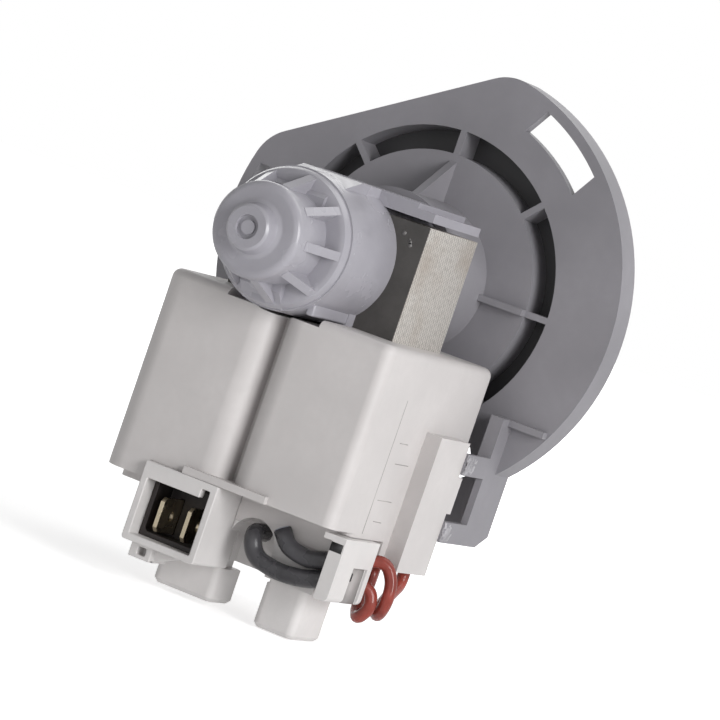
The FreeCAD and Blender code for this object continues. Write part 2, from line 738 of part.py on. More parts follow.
def make_coil_housing():
    body = new_body("coil_housing")
    pad(body, "XY", "-lip_level", "-body_top", lobes_plan())
    soften(body, "Fillet", "edge_round", lambda edge: abs(middle(edge).z + worth("body_top")) < 0.01)
    pad(body, "XY", "-body_bottom", "-lip_level", rounded_rectangle(
        "-body_left", "-panel_front", "body_right", "-body_back", "edge_round"))
    beside_connector = "-(connector_left + slip)"
    pad(body, "XY", "-left_skirt", "-lip_level", [
        ("-body_left + lobe_radius", "-body_front"),
        (beside_connector, "-body_front"),
        (beside_connector, "-panel_front + 2"),
        ("-body_left", "-panel_front + 2"),
        ("-body_left", "-body_front + lobe_radius", "lobe_radius", 1),
    ])
    pad(body, "XY", "-lip_level", "-lip_level + lip_height", rectangle(
        "-lip_left", "-body_front - lip_proud", "lip_right", "-body_front + valley_depth + 1"))
    # The pad on the right side, which the arms of the fork meet, and its catch in the fork's window
    pad(body, "XY", "-body_bottom", "-pad_top", [
        ("body_right - 1", "-pad_back"),
        ("body_right - 1", "-pad_front + pad_bevel"),
        ("body_right", "-pad_front + pad_bevel"),
        ("body_right + pad_proud", "-pad_front"),
        ("body_right + pad_proud", "-pad_back"),
    ])
    pad(body, "XY", "-catch_bottom", "-catch_top", rectangle(
        "body_right + pad_proud / 2", "-pad_back - 1", "body_right + pad_proud", "-pad_back + catch_reach"))
    # The clip stands in a notch, which goes on behind it for the leads
    pocket(body, "XY", "-body_bottom - 1", "-clip_roof + slip", rectangle(
        "clip_left - slip", "-panel_front - 1", "body_right + 1", "-clip_back + clip_room"))
    # The lower sleeve starts in an arch, and the connector stands in a corner of its own
    pocket(body, "XZ", "-panel_front - 1", "-panel_front + tunnel_depth_above", arch_outline())
    pocket(body, "XY", "-body_bottom - 1", "-lip_level", rectangle(
        beside_connector, "-panel_front - 1", "connector_right + slip", "-connector_back + slip"))
    # Room for the coils, the yoke, the legs and the thermal protector
    pocket(body, "XY", "-window_floor", cavity_top, rectangle(
        "-(core_half_width + 3 * slip + bobbin_wall + winding_side)",
        f"{core_front} - (3 * slip + bobbin_wall + winding_bulge)",
        "core_half_width + 3 * slip + bobbin_wall + winding_side",
        f"{core_back} + 3 * slip + bobbin_wall + winding_bulge"))
    pocket(body, "XY", f"{yoke_bottom} - slip", "-window_floor + 0.2", rectangle(
        "-core_half_width - slip", f"{core_front} - slip", "core_half_width + slip", f"{core_back} + slip"))
    pocket(body, "XY", "-window_floor - protector_height - slip", "-window_floor + 0.2", rectangle(
        "leg_inner - slip", f"{core_front} - protector_depth - 2 * slip",
        "leg_inner + protector_width + slip", core_front))
    pocket(body, "XY", f"{cavity_top} - 0.2", "-body_top + 1", leg_box(1, "slip"), leg_box(-1, "slip"))
    pocket(body, "XZ", "-body_front - 2", "-body_back + 1", ("0", "0", "barrel_radius + air_gap"))
    pocket(body, "XZ", f"{core_back} - air_gap", "-body_back + 1", (
        "0", "0", "can_radius + slip + hub_wall + air_gap"))
    pocket(body, "XY", "-hook_bottom - air_gap", "-body_top + 1", rectangle(
        "-hook_outer - air_gap", "-body_front - 2", "hook_outer + air_gap", f"{core_front} + 0.5"))
    return body


# Connector, carrier with its feet, and the clip that holds the leads

def tab_plan(side):
    # Left and right face of one terminal tab
    centre = f"{tab_middle} + ({side}) * tab_pitch / 2"
    return f"{centre} - tab_thickness / 2", f"{centre} + tab_thickness / 2"


def make_connector_housing():
    body = new_body("connector_housing")
    pad(body, "XY", "-connector_bottom", connector_top, rectangle(
        "-connector_left", "-connector_front", "connector_right", "-connector_back"))
    low = worth("-connector_bottom + connector_round")
    soften(body, "Fillet", "connector_round", lambda edge: straight_along(edge, 1) and middle(edge).z < low)
    # The mouth, with a bar across the top of its opening and a notch beside the bar
    left = "-connector_left + mouth_wall"
    bottom = "-connector_bottom + mouth_wall"
    right = "connector_right - mouth_wall"
    roof = f"{connector_top} - mouth_wall"
    pocket(body, "XZ", "-connector_front - 1", "-connector_front + bar_depth + 0.5",
           rectangle(left, bottom, right, f"{roof} - bar_height"))
    pocket(body, "XZ", "-connector_front + bar_depth", block_back, rectangle(left, bottom, right, roof))
    pocket(body, "XZ", "-connector_front - 1", "-connector_front + bar_depth + 0.5",
           rectangle(f"{right} - notch_width", f"{roof} - bar_height - 1", right, roof))
    # Keying foot with its square hole, and the web beside it
    pad(body, "XY", "-connector_bottom - 2.6", "-connector_bottom + 0.5", rectangle(
        "-connector_left + 1.6", "-connector_front + 1.6", "-connector_left + 6", "-connector_front + 8"))
    pocket(body, "XZ", "-connector_front", "-connector_front + 4", rectangle(
        "-connector_left + 3.2", "-connector_bottom - 1.9",
        "-connector_left + 4.8", "-connector_bottom - 0.5"))
    pad(body, "XZ", "-connector_front + 3", "-connector_front + 4.2", [
        ("-connector_left + 5.5", "-connector_bottom - 2.6"),
        ("-connector_left + 12", "-connector_bottom + 0.3"),
        ("-connector_left + 5.5", "-connector_bottom + 0.3"),
    ])
    return body


def make_terminal_block():
    # A cup inside the mouth, whose floor holds the tabs
    body = new_body("terminal_block")
    left = "-connector_left + mouth_wall + slip / 2"
    bottom = "-connector_bottom + mouth_wall + slip / 2"
    right = "connector_right - mouth_wall - slip / 2"
    top = f"{connector_top} - mouth_wall - slip / 2"
    pad(body, "XZ", "-connector_front + block_setback", block_back, rectangle(left, bottom, right, top))
    floor = f"{block_back} - block_floor"
    pocket(body, "XZ", "-connector_front + block_setback - 1", floor, rounded_rectangle(
        f"{left} + block_wall", f"{bottom} + block_wall",
        f"{right} - block_wall", f"{top} - block_wall", "block_wall"))
    tab_end = "-connector_front + tab_recess + tab_length"
    for side in (-1, 1):
        near, far = tab_plan(side)
        pocket(body, "XZ", f"{floor} - 1", tab_end, rectangle(
            f"{near} - slip / 2", "-tab_centre_z - tab_width / 2 - slip / 2",
            f"{far} + slip / 2", "-tab_centre_z + tab_width / 2 + slip / 2"))
    return body


def make_terminal(name, side):
    body = new_body(name)
    front = "-connector_front + tab_recess"
    low = "-tab_centre_z - tab_width / 2"
    high = "-tab_centre_z + tab_width / 2"
    pad(body, "YZ", *tab_plan(side), [
        (f"{front} + tab_thickness", low),
        (f"{front} + tab_length", low),
        (f"{front} + tab_length", high),
        (f"{front} + tab_thickness", high),
        (front, f"{high} - tab_thickness"),
        (front, f"{low} + tab_thickness"),
    ], (f"{front} + tab_hole_inset", "-tab_centre_z", "tab_hole_radius"))
    return body


def make_terminal_carrier():
    body = new_body("terminal_carrier")
    top = "-body_bottom - slip / 2"
    behind_connector = "-connector_back + slip"
    beside_connector = "connector_right + slip"
    pad(body, "XY", "-carrier_bottom", top, [
        ("-connector_left", behind_connector),
        (beside_connector, behind_connector),
        (beside_connector, "-panel_front"),
        ("carrier_right", "-panel_front"),
        ("carrier_right", "-carrier_back"),
        ("-connector_left", "-carrier_back"),
    ])
    pad(body, "XY", "-left_foot_bottom", "-connector_bottom - slip", rectangle(
        "-left_foot_left", "-feet_front", "left_foot_right", "-left_foot_back"))
    pad(body, "XY", "-connector_bottom - 1", "-carrier_bottom + 0.5", rectangle(
        "-left_foot_left + foot_round + slip", behind_connector,
        "left_foot_right - foot_round - slip", "-left_foot_back - foot_round - slip"))
    pad(body, "XY", "-right_foot_bottom", "-carrier_bottom + 0.5", rectangle(
        "right_foot_left", "-feet_front", "right_foot_right", "-carrier_back - slip"))
    low = worth("-connector_bottom - 1")
    soften(body, "Fillet", "foot_round", lambda edge: straight_along(edge, 2) and edge.BoundBox.ZMin < low)
    floors = (worth("-left_foot_bottom"), worth("-right_foot_bottom"))
    soften(body, "Chamfer", "foot_round / 2", lambda edge: any(
        abs(middle(edge).z - floor) < 0.01 for floor in floors))
    pocket(body, "XZ", "-panel_front - 1", "-panel_front + tunnel_depth", arch_outline())
    return body


def make_lead_clip():
    body = new_body("lead_clip")
    pad(body, "XY", "-clip_floor", "-clip_roof", rectangle(
        "clip_left", "-clip_front", "clip_right", "-clip_back"))
    low = worth("-clip_floor + slip")
    soften(body, "Fillet", "clip_wall", lambda edge: straight_along(edge, 1) and middle(edge).z < low)
    # Open towards the sleeves on the left and towards the loops at the back
    pocket(body, "XY", "-clip_floor + clip_wall", "-clip_roof - clip_wall", rectangle(
        "clip_left - 1", "-clip_front + clip_wall", "clip_right - clip_wall", "-clip_back + 1"))
    # Before the panel only the roof and a strip of the front wall stand
    pocket(body, "XY", "-clip_floor - 1", "-clip_roof - clip_wall", rectangle(
        "clip_left - 1", "-clip_front - 1", "clip_right - clip_strip", "-panel_front - slip"))
    # A shallow channel runs down the outer wall
    pocket(body, "YZ", "clip_right - clip_wall / 2", "clip_right + 1", rectangle(
        "-clip_slot_front", "-clip_floor - 1", "-clip_slot_back", "-clip_slot_top"))
    return body


# Leads: straight runs joined by tangent arcs, each arc as wide as its two runs allow

tube_sides = 12


def tube_along(name, points, radius):
    points = [FreeCAD.Vector(*point) for point in points]
    edges = []
    radii = []
    start = points[0]
    for before, corner, after in zip(points, points[1:], points[2:]):
        inward = (corner - before).normalize()
        onward = (after - corner).normalize()
        turn = inward.getAngle(onward)
        run = 0.45 * min((corner - before).Length, (after - corner).Length)
        radii.append(run / math.tan(turn / 2))
        first = corner - inward * run
        last = corner + onward * run
        bisector = (onward - inward).normalize()
        centre = corner + bisector * math.hypot(radii[-1], run)
        halfway = centre - bisector * radii[-1]
        edges.append(Part.LineSegment(start, first).toShape())
        edges.append(Part.Arc(first, halfway, last).toShape())
        start = last
    edges.append(Part.LineSegment(start, points[-1]).toShape())
    path = Part.Wire(edges)
    circle = Part.Circle(points[0], points[1] - points[0], radius)
    corners = [circle.value(2 * math.pi * number / tube_sides) for number in range(tube_sides)]
    section = Part.makePolygon(corners + corners[:1])
    shape = path.makePipeShell([section], True, False)
    expected = Part.Face(section).Area * path.Length
    print(f"{name}: length {path.Length:.1f}, radii {', '.join(f'{each:.1f}' for each in radii)},"
          f" volume {shape.Volume / expected:.4f} of section x length")
    piece = doc.addObject("Part::Feature", name)
    piece.Label = name
    piece.Shape = shape
    piece.Placement = FreeCAD.Placement()
    return piece


def split_route(points, run):
    # Divides a route in the middle of one straight run, where the sleeve ends and its lead goes on
    halfway = tuple((one + other) / 2 for one, other in zip(points[run], points[run + 1]))
    return points[:run + 1] + [halfway], [halfway] + points[run + 1:]


def lead_routes():
    # The sleeves lie before the panel and end in the clip. Their leads loop back to the housing's underside
    sleeve_y = worth("-(panel_front + sleeve_radius + 2 * slip)")
    arch_floor = worth("-panel_front + tunnel_depth_above")
    exit_y = worth("-clip_back + lead_radius")
    arch_x = worth("tunnel_x")
    turn_x = worth("clip_right - clip_wall - sleeve_radius - slip")
    loop_x = worth("clip_right")
    under_x = worth("body_right - 2 * lead_radius")
    upper_z = worth("-(clip_roof + clip_wall + sleeve_radius + sleeve_drop)")
    lower_z = upper_z - worth("2 * sleeve_radius + 2 * slip")
    floor_z = worth("-clip_floor")
    under_z = worth("-body_bottom - slip / 2")
    upper_route = [
        (arch_x + 5.8, sleeve_y, upper_z + 1.8), (arch_x + 7.8, sleeve_y, upper_z - 0.7),
        (turn_x - 4.3, sleeve_y, upper_z - 1.5), (turn_x, sleeve_y, upper_z - 0.2),
        (turn_x - 0.3, exit_y, upper_z + 0.5), (loop_x + 0.6, exit_y + 2.4, upper_z + 1.6),
        (loop_x + 2.6, exit_y + 3.0, upper_z - 1.3), (loop_x + 3.0, exit_y + 2.8, upper_z - 4.9),
        (loop_x + 1.6, exit_y + 4.4, floor_z - 0.8), (loop_x - 0.4, exit_y + 7.5, floor_z - 1.2),
        (under_x + 2.2, exit_y + 12.5, floor_z + 1.3), (under_x + 1.4, exit_y + 18.6, floor_z + 4.2),
        (under_x + 1.4, exit_y + 18.6, under_z)]
    lower_route = [
        (arch_x + 0.5, arch_floor, lower_z + 3.0), (arch_x + 0.5, sleeve_y - 0.2, lower_z + 3.0),
        (arch_x + 2.2, sleeve_y, lower_z - 1.0), (arch_x + 7.6, sleeve_y, lower_z - 2.0),
        (turn_x - 3.9, sleeve_y, lower_z - 1.5), (turn_x, sleeve_y, lower_z - 0.2),
        (turn_x - 0.3, exit_y - 0.3, lower_z), (loop_x, exit_y + 1.5, lower_z - 0.5),
        (loop_x + 1.0, exit_y + 1.5, floor_z + 0.2), (loop_x - 1.2, exit_y + 2.3, floor_z - 2.6),
        (under_x + 0.2, exit_y + 6.3, floor_z - 1.2), (under_x + 0.2, exit_y + 8.1, floor_z + 2.8),
        (under_x + 0.2, exit_y + 8.1, under_z)]
    return *split_route(upper_route, 3), *split_route(lower_route, 5)


def make_thermal_protector():
    body = new_body("thermal_protector")
    top = "-window_floor - slip"
    pad(body, "XY", f"{top} - protector_height + slip", top, rounded_rectangle(
        "leg_inner", f"{core_front} - protector_depth - slip", "leg_inner + protector_width",
        f"{core_front} - slip", "0.8"))
    return body


# Rotor: magnet and hub turn freely on the shaft until their dog meets the one that is fixed on it

def sector(angle, inner, outer):
    return [
        rotated(angle, f"({inner}) * cos(dog_half_angle)", f"-({inner}) * sin(dog_half_angle)"),
        (*rotated(angle, f"({outer}) * cos(dog_half_angle)", f"-({outer}) * sin(dog_half_angle)"), outer, 1),
        rotated(angle, f"({outer}) * cos(dog_half_angle)", f"({outer}) * sin(dog_half_angle)"),
        (*rotated(angle, f"({inner}) * cos(dog_half_angle)", f"({inner}) * sin(dog_half_angle)"), inner, -1),
    ]


def make_magnet_hub():
    body = new_body("magnet_hub")
    bore = "shaft_radius + running_gap"
    revolve(body, "Revolution", [
        (bore, f"{rear_washer_front} + 0.3"),
        ("sleeve_hub_radius", f"{rear_washer_front} + 0.3"),
        ("sleeve_hub_radius", magnet_rear),
        ("magnet_hub_radius", magnet_rear),
        ("magnet_hub_radius", magnet_front),
        (bore, magnet_front),
    ])
    pad(body, "XZ", magnet_front, f"{dog_front} - 0.2", sector("90", "dog_ring_radius + 0.3", "dog_radius"))
    return body


def make_drive_dog():
    body = new_body("drive_dog")
    pad(body, "XZ", dog_rear, dog_front, ("0", "0", "dog_ring_radius"), ("0", "0", "shaft_radius + slip / 5"))
    pad(body, "XZ", dog_rear, dog_front, sector("270", "dog_ring_radius - 0.4", "dog_radius"))
    return body


def make_bearing_plug():
    return turned("bearing_plug", [
        ("bush_radius + slip", plug_rear),
        (f"{can_inner} - slip", plug_rear),
        (f"{can_inner} - slip", "plate_thickness"),
        ("plug_flange_radius", "plate_thickness"),
        ("plug_flange_radius", "plate_thickness + plug_flange_thickness"),
        ("seal_radius + slip", "plate_thickness + plug_flange_thickness"),
        ("seal_radius + slip", "plate_thickness + plug_flange_thickness - seal_height"),
        ("shaft_radius + 0.7", "plate_thickness + plug_flange_thickness - seal_height"),
        ("shaft_radius + 0.7", f"{bush_front} + slip"),
        ("bush_radius + slip", f"{bush_front} + slip"),
    ])


def make_bush(name, rear, front):
    return turned(name, ring_profile("shaft_radius + running_gap", "bush_radius", rear, front))


def make_washer(name, rear):
    return turned(name, ring_profile(
        "shaft_radius + slip / 5", "washer_radius", rear, f"{rear} + washer_thickness"))


def make_rear_holder():
    return turned("rear_bearing_holder", [
        ("shaft_radius + 0.7", f"{pocket_end} + slip"),
        ("rear_pocket_radius - slip", f"{pocket_end} + slip"),
        ("rear_pocket_radius - slip", f"{rear_bush_front} - 0.2"),
        ("bush_radius + slip", f"{rear_bush_front} - 0.2"),
        ("bush_radius + slip", f"{rear_bush_rear} - slip"),
        ("shaft_radius + 0.7", f"{rear_bush_rear} - slip"),
    ])


def make_shaft_seal():
    seat = "plate_thickness + plug_flange_thickness - seal_height + slip"
    top = "plate_thickness + plug_flange_thickness"
    return turned("shaft_seal", [
        ("shaft_radius + running_gap", f"{seat} + 0.8"),
        ("shaft_radius + 1.2", seat),
        ("seal_radius", seat),
        ("seal_radius", top),
        ("seal_radius - 1.2", top),
        ("seal_radius - 1.2", f"{seat} + 1.0"),
        ("shaft_radius + 1.0", f"{seat} + 1.0"),
        ("shaft_radius + running_gap", f"{seat} + 1.2"),
    ])


def make_impeller():
    body = new_body("impeller")
    bore = "shaft_radius + slip / 5"
    shroud_front = f"{impeller_rear} + shroud_thickness"
    revolve(body, "Revolution", [
        (bore, impeller_rear),
        ("impeller_radius", impeller_rear),
        ("impeller_radius", shroud_front),
        ("impeller_hub_radius", shroud_front),
        ("impeller_hub_radius - 0.6", f"{impeller_rear} + impeller_hub_length"),
        (bore, f"{impeller_rear} + impeller_hub_length"),
    ])
    blade = pad(body, "XY", "-blade_thickness / 2", "blade_thickness / 2", [
        ("impeller_hub_radius - 1", f"{shroud_front} - 0.5"),
        ("impeller_radius - 0.3", f"{shroud_front} - 0.5"),
        ("impeller_radius - 0.3", f"{shroud_front} + blade_tip_height"),
        ("impeller_hub_radius + 2.5", f"{shroud_front} + blade_height"),
        ("impeller_hub_radius - 1", f"{shroud_front} + blade_height"),
    ])
    around(body, blade, "blade_count")
    return body


def make_flange_seal():
    # A ring in the seat at the root of the spigot, its section drawn as an octagon
    centre = f"{spigot_radius} - seal_seat_depth + seal_ring_radius + slip"
    reach = "(seal_ring_radius - slip / 5)"
    angles = [22.5 + 45 * number for number in range(8)]
    return turned("flange_seal", [
        (f"{centre} + {reach} * cos({angle})", f"plate_thickness + seal_ring_radius + {reach} * sin({angle})")
        for angle in angles])


upper_sleeve_route, upper_lead_route, lower_sleeve_route, lower_lead_route = lead_routes()
pieces = [
    make_flange_cover(),
    make_rotor_can(),
    make_stator_core(),
    make_bobbin("left_bobbin", -1),
    make_bobbin("right_bobbin", 1),
    make_winding("left_winding", -1),
    make_winding("right_winding", 1),
    make_coil_housing(),
    make_thermal_protector(),
    make_connector_housing(),
    make_terminal_block(),
    make_terminal("left_terminal", -1),
    make_terminal("right_terminal", 1),
    make_terminal_carrier(),
    make_lead_clip(),
    tube_along("upper_sleeve", upper_sleeve_route, worth("sleeve_radius")),
    tube_along("lower_sleeve", lower_sleeve_route, worth("sleeve_radius")),
    tube_along("upper_lead", upper_lead_route, worth("lead_radius")),
    tube_along("lower_lead", lower_lead_route, worth("lead_radius")),
    turned("rotor_magnet", ring_profile(
        "magnet_hub_radius + slip", f"{can_inner} - air_gap", magnet_rear, magnet_front)),
    make_magnet_hub(),
    make_drive_dog(),
    turned("rotor_shaft", [("0", f"{relief_end} + 0.5"), ("shaft_radius", f"{relief_end} + 0.5"),
                           ("shaft_radius", "shaft_front"), ("0", "shaft_front")]),
    make_washer("rear_washer", rear_washer_rear),
    make_washer("front_washer", front_washer_rear),
    make_bush("rear_bearing", rear_bush_rear, rear_bush_front),
    make_rear_holder(),
    make_bush("front_bearing", plug_rear, bush_front),
    make_bearing_plug(),
    make_shaft_seal(),
    make_impeller(),
    make_flange_seal(),
]
doc.recompute()

failed = [item.Name for item in doc.Objects if {"Invalid", "Error"} & set(item.State)]
broken = [piece.Label for piece in pieces if piece.Shape.isNull() or not piece.Shape.isValid()]
if failed or broken:
    raise RuntimeError(f"failed objects {failed}, broken shapes {broken}")
os.makedirs("parts", exist_ok=True)
for piece in pieces:
    piece.Shape.exportStep(f"parts/{piece.Label}.step")
    box = piece.Shape.BoundBox
    reach = f"x {box.XMin:.1f} {box.XMax:.1f}, y {box.YMin:.1f} {box.YMax:.1f}, z {box.ZMin:.1f} {box.ZMax:.1f}"
    print(f"{piece.Label}: {len(piece.Shape.Solids)} solid(s), {piece.Shape.Volume:.0f} mm3, {reach}")
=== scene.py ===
import json
import math

import bmesh
import bpy
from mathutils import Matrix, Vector, noise

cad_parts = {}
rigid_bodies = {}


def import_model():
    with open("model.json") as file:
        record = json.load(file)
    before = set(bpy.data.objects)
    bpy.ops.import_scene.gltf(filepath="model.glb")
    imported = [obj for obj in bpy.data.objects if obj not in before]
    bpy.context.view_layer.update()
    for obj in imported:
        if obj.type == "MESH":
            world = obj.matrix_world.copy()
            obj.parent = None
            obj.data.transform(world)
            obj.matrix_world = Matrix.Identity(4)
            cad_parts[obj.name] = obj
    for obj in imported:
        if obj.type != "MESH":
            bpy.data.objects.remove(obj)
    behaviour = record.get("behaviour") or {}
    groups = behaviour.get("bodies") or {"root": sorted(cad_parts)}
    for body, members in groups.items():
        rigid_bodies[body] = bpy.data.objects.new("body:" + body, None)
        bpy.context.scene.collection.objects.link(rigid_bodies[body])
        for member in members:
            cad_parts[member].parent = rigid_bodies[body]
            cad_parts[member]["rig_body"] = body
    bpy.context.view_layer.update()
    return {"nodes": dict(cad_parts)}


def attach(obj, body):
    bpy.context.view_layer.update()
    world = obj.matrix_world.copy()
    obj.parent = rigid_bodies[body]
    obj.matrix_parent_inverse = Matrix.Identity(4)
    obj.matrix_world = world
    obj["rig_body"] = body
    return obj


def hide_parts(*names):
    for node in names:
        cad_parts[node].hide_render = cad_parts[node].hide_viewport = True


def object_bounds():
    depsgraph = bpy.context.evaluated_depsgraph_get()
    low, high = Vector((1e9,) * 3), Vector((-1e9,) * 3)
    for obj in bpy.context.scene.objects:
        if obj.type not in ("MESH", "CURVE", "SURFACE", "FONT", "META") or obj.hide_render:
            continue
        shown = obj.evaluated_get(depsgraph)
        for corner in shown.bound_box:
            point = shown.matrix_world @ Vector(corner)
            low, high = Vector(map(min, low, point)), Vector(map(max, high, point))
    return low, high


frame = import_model()
mm = 0.001
print("frame loaded")


# Colours are written as they look on screen, from 0 to 255

def onScreen(red, green, blue):
    def straight(value):
        value = value / 255
        return value / 12.92 if value <= 0.04045 else ((value + 0.055) / 1.055) ** 2.4
    return (straight(red), straight(green), straight(blue), 1.0)


def scaled(colour, factor):
    return (*(min(1.0, part * factor) for part in colour[:3]), 1.0)


class NodeBench:
    # Short names for laying out a material's nodes

    def __init__(self, name):
        self.material = bpy.data.materials.new(name)
        self.material.use_nodes = True
        self.nodes = self.material.node_tree.nodes
        self.links = self.material.node_tree.links
        self.shader = self.nodes["Principled BSDF"]
        self.place = self.nodes.new("ShaderNodeTexCoord").outputs["Object"]

    def feed(self, value, target):
        # A socket is linked, a plain value is typed in
        if hasattr(value, "links"):
            self.links.new(value, target)
        else:
            target.default_value = value

    def noise(self, scale, detail=3.0, stretch=None):
        node = self.nodes.new("ShaderNodeTexNoise")
        node.inputs["Scale"].default_value = scale
        node.inputs["Detail"].default_value = detail
        node.inputs["Roughness"].default_value = 0.5
        place = self.place
        if stretch is not None:
            mapping = self.nodes.new("ShaderNodeMapping")
            mapping.inputs["Scale"].default_value = stretch
            self.feed(place, mapping.inputs["Vector"])
            place = mapping.outputs["Vector"]
        self.feed(place, node.inputs["Vector"])
        return node.outputs["Fac"]

    def parts(self, vector):
        node = self.nodes.new("ShaderNodeSeparateXYZ")
        self.feed(vector, node.inputs[0])
        return node.outputs

    def facing(self):
        shape = self.nodes.new("ShaderNodeNewGeometry")
        return self.parts(shape.outputs["True Normal"])

    def ramp(self, source, *stops):
        node = self.nodes.new("ShaderNodeValToRGB")
        for element, (position, colour) in zip(node.color_ramp.elements, stops):
            element.position = position
            element.color = colour
        self.feed(source, node.inputs["Fac"])
        return node.outputs["Color"]

    def shades(self, source, colour, darker, lighter, low=0.3, high=0.7):
        return self.ramp(source, (low, scaled(colour, darker)), (high, scaled(colour, lighter)))

    def span(self, source, low, high, fromLow=0.3, fromHigh=0.7):
        node = self.nodes.new("ShaderNodeMapRange")
        node.inputs["From Min"].default_value = fromLow
        node.inputs["From Max"].default_value = fromHigh
        node.inputs["To Min"].default_value = low
        node.inputs["To Max"].default_value = high
        self.feed(source, node.inputs["Value"])
        return node.outputs["Result"]

    def mix(self, amount, one, other):
        node = self.nodes.new("ShaderNodeMix")
        node.data_type = "RGBA"
        for value, place in ((amount, 0), (one, 6), (other, 7)):  # the colour sockets of this node
            self.feed(value, node.inputs[place])
        return node.outputs[2]

    def maths(self, operation, one, other=0.0):
        node = self.nodes.new("ShaderNodeMath")
        node.operation = operation
        self.feed(one, node.inputs[0])
        self.feed(other, node.inputs[1])
        return node.outputs[0]

    def bump(self, source, strength, distance, after=None):
        node = self.nodes.new("ShaderNodeBump")
        node.inputs["Strength"].default_value = strength
        node.inputs["Distance"].default_value = distance * mm
        self.feed(source, node.inputs["Height"])
        if after is not None:
            self.feed(after, node.inputs["Normal"])
        return node.outputs["Normal"]

    def finish(self, colour, roughness, normal, metallic=0.0, specular=0.5):
        self.feed(colour, self.shader.inputs["Base Color"])
        self.feed(roughness, self.shader.inputs["Roughness"])
        self.feed(normal, self.shader.inputs["Normal"])
        self.shader.inputs["Metallic"].default_value = metallic
        self.shader.inputs["Specular IOR Level"].default_value = specular
        return self.material


# Moulded plastic has soft clouds in its colour and gloss, fine specks and a spark-eroded grain. Where
# a look gives a pocket depth, its deep floors get painted shade

coverLook = dict(colour=onScreen(134, 132, 137), clouds=55, depth=0.10, grain=2600, height=0.06,
                 rough=(0.42, 0.58), pocket=1.5)
canLook = dict(colour=onScreen(158, 156, 163), clouds=90, depth=0.07, grain=3800, height=0.025,
               rough=(0.20, 0.30))
housingLook = dict(colour=onScreen(199, 195, 194), clouds=70, depth=0.05, grain=3200, height=0.02,
                   rough=(0.36, 0.50))
carrierLook = dict(colour=onScreen(211, 208, 207), clouds=90, depth=0.05, grain=4200, height=0.02,
                   rough=(0.34, 0.46))
plugLook = dict(colour=onScreen(98, 98, 101), clouds=90, depth=0.08, grain=2600, height=0.04,
                rough=(0.42, 0.55))
impellerLook = dict(colour=onScreen(112, 113, 116), clouds=80, depth=0.08, grain=2600, height=0.03,
                    rough=(0.38, 0.50))
hubLook = dict(colour=onScreen(205, 203, 196), clouds=80, depth=0.06, grain=2600, height=0.03,
               rough=(0.40, 0.52))
washerLook = dict(colour=onScreen(220, 205, 165), clouds=120, depth=0.06, grain=2600, height=0.02,
                  rough=(0.30, 0.42))
bushLook = dict(washerLook, colour=onScreen(228, 226, 218), rough=(0.25, 0.35))

plasticLook = dict(cloudSpan=(0.35, 0.65), speckScale=9, speckShare=0.35, speckShade=0.94,
                   grainDepth=0.15, dust=0.16)
faceLimit = 0.7  # beyond this a normal's part counts as looking along its axis


def mouldedPlastic(name, look):
    bench = NodeBench(name)
    common = plasticLook
    clouds = bench.noise(look["clouds"], detail=4.0)
    fine = bench.noise(look["clouds"] * common["speckScale"], detail=2.0)
    darker, lighter = 1 - look["depth"], 1 + look["depth"]
    base = bench.shades(clouds, look["colour"], darker, lighter, *common["cloudSpan"])
    speck = bench.span(fine, 0.0, common["speckShare"])
    colour = bench.mix(speck, base, scaled(look["colour"], common["speckShade"]))
    if "pocket" in look:
        # Painted shade: floors that face the motor and lie this deep are darkened, standing in for
        # the shadow deep in the groove
        deep = bench.maths("GREATER_THAN", bench.parts(bench.place)["Y"], look["pocket"] * mm)
        floor = bench.maths("LESS_THAN", bench.facing()["Y"], -faceLimit)
        dusty = bench.maths("MULTIPLY", deep, floor)
        colour = bench.mix(dusty, colour, scaled(look["colour"], common["dust"]))
    rough = bench.span(clouds, *look["rough"])
    grain = bench.bump(bench.noise(look["grain"], detail=2.0), look["height"], common["grainDepth"])
    return bench.finish(colour, rough, grain)


rubberLook = dict(clouds=220, shades=(0.75, 1.35), wrinkle=900, strength=0.12, depth=0.2,
                  specular=0.4)


def rubber(name, colour, rough):
    bench = NodeBench(name)
    look = rubberLook
    clouds = bench.noise(look["clouds"])
    shade = bench.shades(clouds, colour, *look["shades"])
    wrinkle = bench.bump(bench.noise(look["wrinkle"]), look["strength"], look["depth"])
    return bench.finish(shade, bench.span(clouds, *rough), wrinkle, specular=look["specular"])


metalLook = dict(smears=260, scratches=1500, shades=(0.82, 1.08), depth=0.1)


def brightMetal(name, colour, rough, scratchAlong, scratch=0.08):
    bench = NodeBench(name)
    look = metalLook
    smears = bench.noise(look["smears"])
    lines = bench.noise(look["scratches"], detail=2.0, stretch=scratchAlong)
    shade = bench.shades(smears, colour, *look["shades"])
    relief = bench.bump(lines, scratch, look["depth"])
    return bench.finish(shade, bench.span(smears, *rough), relief, metallic=1.0)


# The stack is painted dark on its flat sheets. Along its edge it is bare,
# with a fine slanting hatch and a slight brown tarnish

stackLook = dict(
    paint=onScreen(84, 82, 80), paintScale=160, paintShades=(0.85, 1.15), paintRough=0.12,
    sheet=0.5 * mm, step=0.62 * mm, slant=0.5, rowShare=0.55, dashShare=0.45,
    wobbleScale=420, wobble=0.9,
    edge=onScreen(232, 228, 222), edgeFrom=0.5, gap=onScreen(150, 144, 138), gapTo=0.12,
    burrScale=1300, burrSpan=(0.45, 0.65), burrShare=0.4,
    stain=onScreen(168, 152, 136), stainScale=75, stainSpan=(0.54, 0.70), stainShare=0.45,
    hatchStrength=0.5, hatchDepth=0.05, grainScale=1400, grainStrength=0.08, grainDepth=0.15,
    rough=(0.34, 0.5), metallic=0.55,
)


